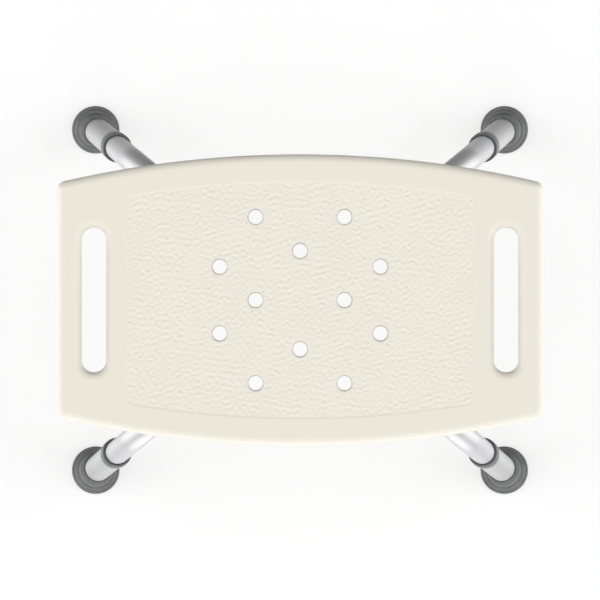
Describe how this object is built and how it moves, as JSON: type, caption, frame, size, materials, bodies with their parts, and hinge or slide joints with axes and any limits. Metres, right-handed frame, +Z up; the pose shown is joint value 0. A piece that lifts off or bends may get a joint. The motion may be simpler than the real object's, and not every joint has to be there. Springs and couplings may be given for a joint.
{
  "type": "shower stool",
  "caption": "Backless shower stool: a perforated oblong plastic seat with two hand slots on a crossed tube frame with telescopic push-button legs and rubber feet.",
  "frame": {"origin": "on the floor under the middle of the seat, with every leg at its shortest setting", "axes": "+Z up; +X along the long side of the seat; -Y is the front. Left is -X and right is +X, seen from the front."},
  "size_m": [0.5072, 0.4314, 0.405],
  "materials": {
    "seat_plastic": "cream blow-moulded polyethylene, fine leather-grain panel in a smooth border",
    "aluminium": "satin anodised tube",
    "leg_aluminium": "satin anodised tube",
    "grey_plastic": "mid-grey moulded plastic",
    "rubber": "matte grey rubber",
    "steel": "zinc plated or stainless steel",
    "brass": "plain turned brass"
  },
  "bodies": {
    "frame": {"seat": "seat_plastic", "cross_tube_upper": "aluminium", "cross_tube_lower": "aluminium", "centre_bolt": "steel", "centre_washer": "steel", "centre_nut": "steel", "saddle_front_left": "grey_plastic", "seat_screw_front_left": "steel", "seat_insert_front_left": "brass", "button_spring_front_left": "steel", "tube_plug_front_left": "grey_plastic", "saddle_front_right": "grey_plastic", "seat_screw_front_right": "steel", "seat_insert_front_right": "brass", "button_spring_front_right": "steel", "tube_plug_front_right": "grey_plastic", "saddle_back_left": "grey_plastic", "seat_screw_back_left": "steel", "seat_insert_back_left": "brass", "button_spring_back_left": "steel", "tube_plug_back_left": "grey_plastic", "saddle_back_right": "grey_plastic", "seat_screw_back_right": "steel", "seat_insert_back_right": "brass", "button_spring_back_right": "steel", "tube_plug_back_right": "grey_plastic"},
    "leg_front_left": {"leg_tube_front_left": "leg_aluminium", "leg_collar_front_left": "grey_plastic", "foot_front_left": "rubber", "foot_washer_front_left": "steel"},
    "button_front_left": {"snap_button_front_left": "steel"},
    "leg_front_right": {"leg_tube_front_right": "leg_aluminium", "leg_collar_front_right": "grey_plastic", "foot_front_right": "rubber", "foot_washer_front_right": "steel"},
    "button_front_right": {"snap_button_front_right": "steel"},
    "leg_back_left": {"leg_tube_back_left": "leg_aluminium", "leg_collar_back_left": "grey_plastic", "foot_back_left": "rubber", "foot_washer_back_left": "steel"},
    "button_back_left": {"snap_button_back_left": "steel"},
    "leg_back_right": {"leg_tube_back_right": "leg_aluminium", "leg_collar_back_right": "grey_plastic", "foot_back_right": "rubber", "foot_washer_back_right": "steel"},
    "button_back_right": {"snap_button_back_right": "steel"}
  },
  "joints": [
    {"name": "leg_slide_front_left", "type": "slide", "parent": "frame", "child": "leg_front_left", "axis": [-0.1637, -0.1364, -0.977], "range_m": [0, 0.12]},
    {"name": "button_press_front_left", "type": "slide", "parent": "frame", "child": "button_front_left", "axis": [-0.7506, -0.6254, 0.213], "range_m": [0, 0.0042], "stiffness_N_per_m": 1500, "springref_m": -0.002, "deforming": ["button_spring_front_left"]},
    {"name": "leg_slide_front_right", "type": "slide", "parent": "frame", "child": "leg_front_right", "axis": [0.1637, -0.1364, -0.977], "range_m": [0, 0.12]},
    {"name": "button_press_front_right", "type": "slide", "parent": "frame", "child": "button_front_right", "axis": [0.7506, -0.6254, 0.213], "range_m": [0, 0.0042], "stiffness_N_per_m": 1500, "springref_m": -0.002, "deforming": ["button_spring_front_right"]},
    {"name": "leg_slide_back_left", "type": "slide", "parent": "frame", "child": "leg_back_left", "axis": [-0.1637, 0.1364, -0.977], "range_m": [0, 0.12]},
    {"name": "button_press_back_left", "type": "slide", "parent": "frame", "child": "button_back_left", "axis": [-0.7506, 0.6254, 0.213], "range_m": [0, 0.0042], "stiffness_N_per_m": 1500, "springref_m": -0.002, "deforming": ["button_spring_back_left"]},
    {"name": "leg_slide_back_right", "type": "slide", "parent": "frame", "child": "leg_back_right", "axis": [0.1637, 0.1364, -0.977], "range_m": [0, 0.12]},
    {"name": "button_press_back_right", "type": "slide", "parent": "frame", "child": "button_back_right", "axis": [0.7506, 0.6254, 0.213], "range_m": [0, 0.0042], "stiffness_N_per_m": 1500, "springref_m": -0.002, "deforming": ["button_spring_back_right"]}
  ]
}
